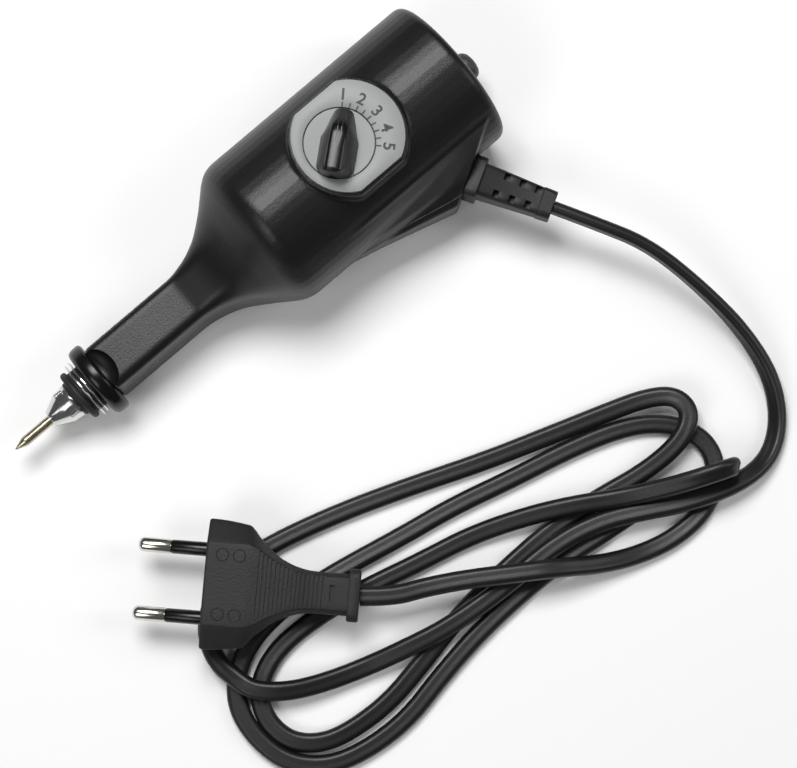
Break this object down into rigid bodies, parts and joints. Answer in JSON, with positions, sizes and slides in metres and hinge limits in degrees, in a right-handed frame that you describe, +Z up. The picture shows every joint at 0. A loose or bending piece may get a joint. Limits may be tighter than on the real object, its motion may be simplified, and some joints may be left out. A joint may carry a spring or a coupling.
{
  "type": "electric engraving pen",
  "caption": "Mains powered vibrating engraving pen with pointed tip, stroke dial, push switch, mains cord and two-pin plug.",
  "frame": {"origin": "on the table, on the flat underside of the body, under the centre of the stroke dial", "axes": "+X from the tip to the rear along the pen, +Y to the side away from the cord, +Z up out of the dial"},
  "size_m": [0.1805, 0.162, 0.0554],
  "materials": {
    "casing_black": "fine satin moulded texture",
    "gloss_black": "glossy moulded plastic",
    "chrome_bright": "bright nickel and chrome plate",
    "tip_steel": "ground hardened steel, slightly straw coloured",
    "steel": "zinc plated steel",
    "bronze": "sintered bronze",
    "core_steel": "varnished laminated iron",
    "bobbin_plastic": "natural nylon",
    "copper_winding": "enamelled copper wire",
    "rubber_black": "matt rubber",
    "dial_grey": "satin light grey with printed scale",
    "button_grey": "dark grey moulded plastic",
    "terminal_brass": "stamped brass",
    "cord_black": "semi-matt black PVC",
    "plug_black": "fine spark-eroded texture",
    "pin_nickel": "nickel plated brass",
    "lead_brown": "brown PVC insulation",
    "lead_blue": "blue PVC insulation"
  },
  "bodies": {
    "body": {"upper_casing": "casing_black", "lower_casing": "casing_black", "nose_collar": "gloss_black", "nose_sleeve": "chrome_bright", "nose_seal": "rubber_black", "nose_washers": "chrome_bright", "damping_rings": "rubber_black", "shaft_bush": "bronze", "return_spring": "steel", "magnet_core": "core_steel", "coil_bobbin": "bobbin_plastic", "coil_winding": "copper_winding", "core_brackets": "steel", "bracket_screws": "steel", "casing_screws": "steel", "dial_plate": "dial_grey", "friction_washer": "steel", "button_spring": "steel", "switch_housing": "gloss_black", "switch_terminals": "terminal_brass", "strain_relief": "cord_black", "cord_stub": "cord_black", "cord_clamp": "bobbin_plastic", "supply_leads": "lead_brown", "coil_leads": "lead_blue", "power_cord": "cord_black", "plug_body": "plug_black", "plug_pins": "pin_nickel", "pin_sleeves": "gloss_black"},
    "plunger": {"tip_chuck": "chrome_bright", "engraving_tip": "tip_steel", "drive_shaft": "steel", "armature_plate": "steel", "armature_nut": "steel", "stroke_arm": "steel", "spring_seat": "steel"},
    "dial": {"dial_disc": "dial_grey", "dial_knob": "gloss_black", "stroke_cam": "bobbin_plastic", "dial_circlip": "steel"},
    "button": {"power_button": "button_grey"}
  },
  "joints": [
    {"name": "tip_stroke", "type": "slide", "parent": "body", "child": "plunger", "axis": [-1, 0, 0], "range_m": [0, 0.0008], "stiffness_N_per_m": 2500, "deforming": ["return_spring"]},
    {"name": "stroke_dial", "type": "hinge", "parent": "body", "child": "dial", "pos_m": [-0.003, 0, 0.0466], "axis": [0, 0, 1], "range_deg": [-85, 5]},
    {"name": "power_push", "type": "slide", "parent": "body", "child": "button", "axis": [-1, 0, 0], "range_m": [0, 0.002], "stiffness_N_per_m": 800, "deforming": ["button_spring"]}
  ]
}
